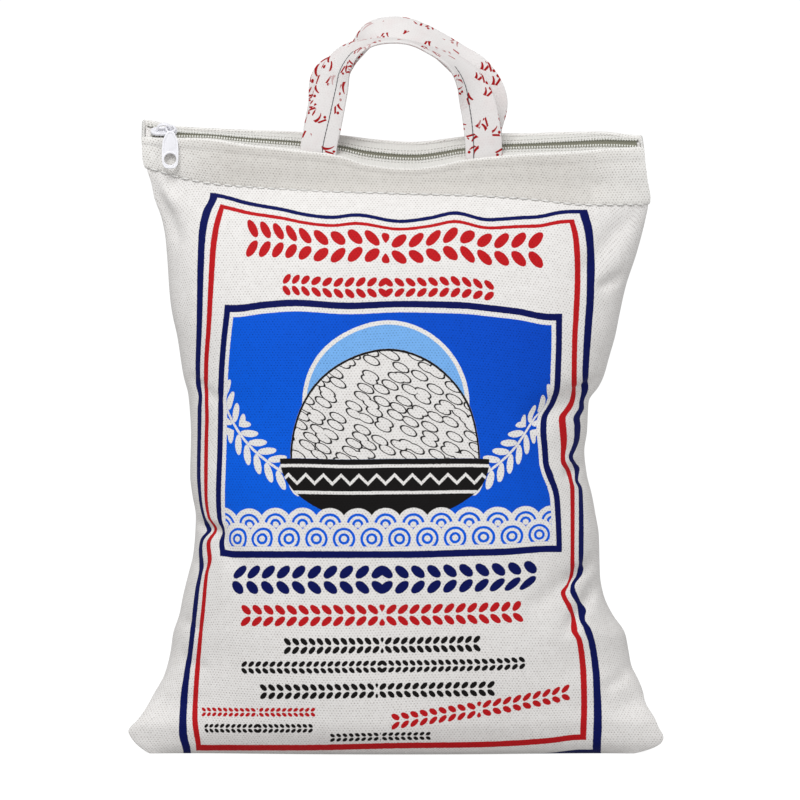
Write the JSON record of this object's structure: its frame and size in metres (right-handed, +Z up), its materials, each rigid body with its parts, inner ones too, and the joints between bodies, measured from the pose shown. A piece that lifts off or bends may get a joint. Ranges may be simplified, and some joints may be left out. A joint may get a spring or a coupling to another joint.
{
  "type": "rice bag",
  "caption": "Filled cloth rice bag standing on its flattened base, with a printed front, a folded hem, a closed zip with a hanging pull, and arched carry handles.",
  "frame": {"origin": "on the surface that the bag stands on, under the middle of its box", "axes": "+Z up from the base to the handles, +X to the right along the zip, -Y out of the printed front"},
  "size_m": [0.3005, 0.116, 0.415],
  "materials": {
    "bag_cloth": "white embossed non-woven cloth with a printed front",
    "hem_cloth": "the same cloth folded double, with a line of stitches",
    "zip_tape": "fine woven tape",
    "zip_teeth": "off-white nylon coil with dark gaps",
    "handle_cloth": "folded cloth band with a dark seam and small red marks",
    "slider_plastic": "white enamel",
    "pull_plastic": "white enamel"
  },
  "bodies": {
    "root": {"bag_body": "bag_cloth", "top_hem": "hem_cloth", "zip_tape_front": "zip_tape", "zip_tape_back": "zip_tape", "zip_chain": "zip_teeth", "handle_front": "handle_cloth", "handle_back": "handle_cloth", "zip_slider": "slider_plastic", "zip_pull": "pull_plastic"}
  },
  "joints": []
}
